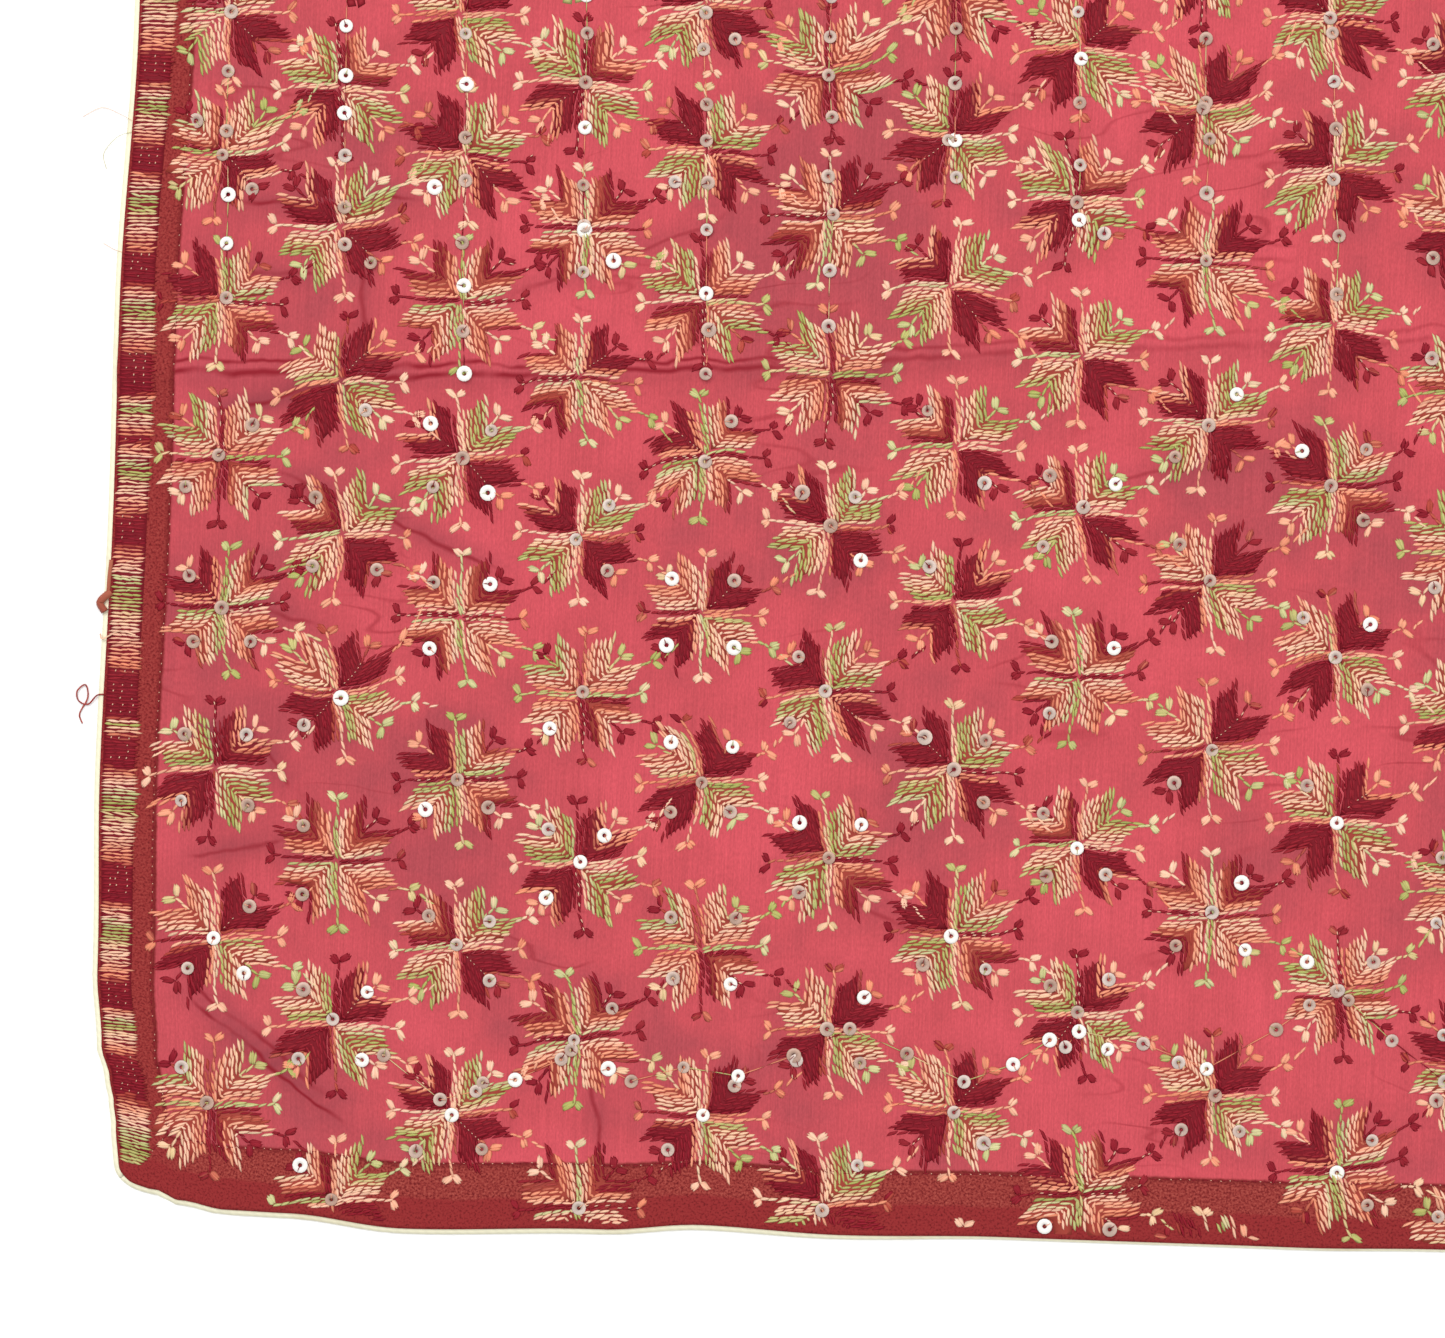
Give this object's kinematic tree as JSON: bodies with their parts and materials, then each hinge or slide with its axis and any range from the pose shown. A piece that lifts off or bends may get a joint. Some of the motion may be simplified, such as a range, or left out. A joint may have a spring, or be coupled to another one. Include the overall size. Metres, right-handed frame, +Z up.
{
  "type": "phulkari shawl laid flat",
  "caption": "Long sheer rose-red shawl laid flat, with star-flower embroidery all over, sequins, turned hems, a cream edging and an embroidered band on one long edge.",
  "frame": {"origin": "on the table under the middle of the shawl's box", "axes": "+Y along the shawl's length, up in the picture, +X across its width, to the picture's right, +Z up out of the embroidered face"},
  "size_m": [0.92, 2.2, 0.0055],
  "materials": {
    "ground_cloth": "sheer crinkled georgette, rose red, matt with a faint sheen",
    "turned_hem": "the same cloth turned to the back, seen through the face as a deeper brownish red",
    "edging_tape": "pale cream woven edging",
    "embroidery_thread": "variegated glossy chain-stitch thread, maroon, salmon, peach and green"
  },
  "bodies": {
    "root": {"ground_cloth": "ground_cloth", "hem_left": "turned_hem", "hem_right": "turned_hem", "hem_bottom": "turned_hem", "hem_top": "turned_hem", "tape_left": "edging_tape", "tape_bottom": "edging_tape", "border_band": "embroidery_thread"}
  },
  "joints": []
}
